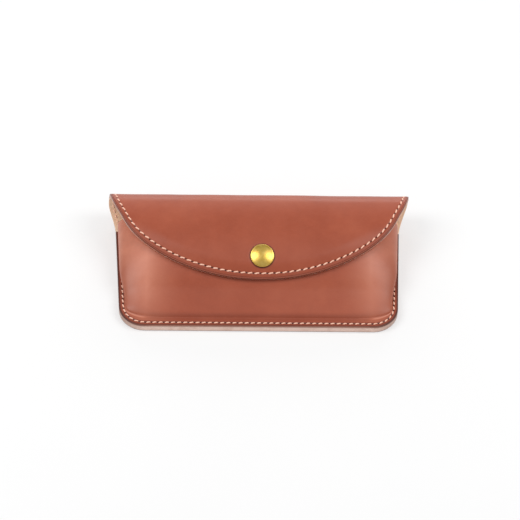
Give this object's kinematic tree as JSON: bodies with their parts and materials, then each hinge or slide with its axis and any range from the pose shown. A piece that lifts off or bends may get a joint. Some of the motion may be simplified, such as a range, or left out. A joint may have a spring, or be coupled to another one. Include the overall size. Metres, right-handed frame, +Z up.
{
  "type": "glasses case",
  "caption": "Soft leather pouch for folded glasses: a sewn back and moulded front, with a half-oval flap that folds over the mouth and shuts on a brass press stud.",
  "frame": {"origin": "Middle of the case's outline seen from above, on the surface that its back lies on.", "axes": "+X runs along the width, to the right when facing the flap's free edge. +Y runs from the sewn bottom seam to the fold. +Z points up, out of the front."},
  "size_m": [0.179, 0.087, 0.0309],
  "materials": {
    "brown_leather": "smooth vegetable-tanned leather with a waxed semi-gloss face and darker burnished edges",
    "natural_lining": "matt natural split-leather lining",
    "waxed_thread": "waxed cream linen thread",
    "snap_brass": "polished brass",
    "spring_wire": "bright spring wire"
  },
  "bodies": {
    "pouch": {"back_panel": "brown_leather", "back_lining": "natural_lining", "front_panel": "brown_leather", "front_lining": "natural_lining", "seam_thread_front": "waxed_thread", "seam_thread_back": "waxed_thread", "snap_stud": "snap_brass", "snap_stud_post": "snap_brass"},
    "fold_1": {"fold_strip_1": "brown_leather", "fold_lining_1": "natural_lining"},
    "fold_2": {"fold_strip_2": "brown_leather", "fold_lining_2": "natural_lining"},
    "fold_3": {"fold_strip_3": "brown_leather", "fold_lining_3": "natural_lining"},
    "fold_4": {"fold_strip_4": "brown_leather", "fold_lining_4": "natural_lining"},
    "flap": {"flap_leather": "brown_leather", "flap_lining": "natural_lining", "flap_thread_top": "waxed_thread", "flap_thread_under": "waxed_thread", "snap_cap": "snap_brass", "snap_cap_post": "snap_brass", "snap_socket": "snap_brass", "snap_spring": "spring_wire"}
  },
  "joints": [
    {"name": "flap_bend_1", "type": "hinge", "parent": "pouch", "child": "fold_1", "pos_m": [0, 0.0285, 0], "axis": [-1, 0, 0], "range_deg": [0, 21.5]},
    {"name": "flap_bend_2", "type": "hinge", "parent": "fold_1", "child": "fold_2", "pos_m": [0, 0.03873, 0.00403], "axis": [-1, 0, 0], "range_deg": [0, 43]},
    {"name": "flap_bend_3", "type": "hinge", "parent": "fold_2", "child": "fold_3", "pos_m": [0, 0.04346, 0.01395], "axis": [-1, 0, 0], "range_deg": [0, 43]},
    {"name": "flap_bend_4", "type": "hinge", "parent": "fold_3", "child": "fold_4", "pos_m": [0, 0.04016, 0.02444], "axis": [-1, 0, 0], "range_deg": [0, 43]},
    {"name": "flap_bend_5", "type": "hinge", "parent": "fold_4", "child": "flap", "pos_m": [0, 0.03059, 0.02985], "axis": [-1, 0, 0], "range_deg": [0, 21.5]}
  ],
  "couplings": [
    {"joint": "flap_bend_2", "follows": "flap_bend_1", "ratio": 2},
    {"joint": "flap_bend_3", "follows": "flap_bend_1", "ratio": 2},
    {"joint": "flap_bend_4", "follows": "flap_bend_1", "ratio": 2},
    {"joint": "flap_bend_5", "follows": "flap_bend_1", "ratio": 1}
  ]
}
